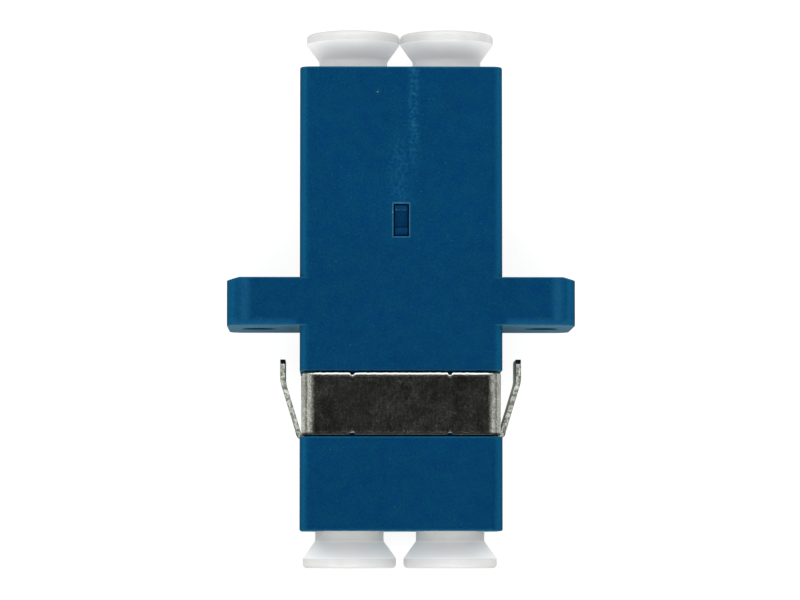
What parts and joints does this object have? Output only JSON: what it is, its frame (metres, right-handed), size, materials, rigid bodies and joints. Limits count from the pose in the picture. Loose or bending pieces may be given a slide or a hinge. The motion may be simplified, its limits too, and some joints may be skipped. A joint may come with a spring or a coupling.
{
  "type": "duplex lc fibre adapter",
  "caption": "Flanged duplex LC fibre optic adapter in a panel-mount housing with a steel spring clip and white dust caps.",
  "frame": {"origin": "centre of the two screw holes on the flange's panel face, halfway through the housing's depth", "axes": "+Y along the fibres to the rear ports, +X across the two ports, +Z out of the wide face above the latch slots"},
  "size_m": [0.022, 0.0346, 0.0094],
  "materials": {
    "blue_moulding": "satin moulded polycarbonate blend, blue",
    "zirconia": "ground zirconia",
    "spring_steel": "bright rolled stainless spring steel",
    "white_cap": "soft white low-density polyethylene"
  },
  "bodies": {
    "housing": {"adapter_body": "blue_moulding", "mounting_clip": "spring_steel", "sleeve_holder": "blue_moulding", "sleeve_retainer": "blue_moulding", "split_sleeve_left": "zirconia", "split_sleeve_right": "zirconia"},
    "cap_front_left": {"dust_cap_front_left": "white_cap"},
    "cap_front_right": {"dust_cap_front_right": "white_cap"},
    "cap_rear_left": {"dust_cap_rear_left": "white_cap"},
    "cap_rear_right": {"dust_cap_rear_right": "white_cap"}
  },
  "joints": [
    {"name": "front_left_cap_pull", "type": "slide", "parent": "housing", "child": "cap_front_left", "axis": [0, -1, 0], "range_m": [0, 0.012]},
    {"name": "front_right_cap_pull", "type": "slide", "parent": "housing", "child": "cap_front_right", "axis": [0, -1, 0], "range_m": [0, 0.012]},
    {"name": "rear_left_cap_pull", "type": "slide", "parent": "housing", "child": "cap_rear_left", "axis": [0, 1, 0], "range_m": [0, 0.012]},
    {"name": "rear_right_cap_pull", "type": "slide", "parent": "housing", "child": "cap_rear_right", "axis": [0, 1, 0], "range_m": [0, 0.012]}
  ]
}
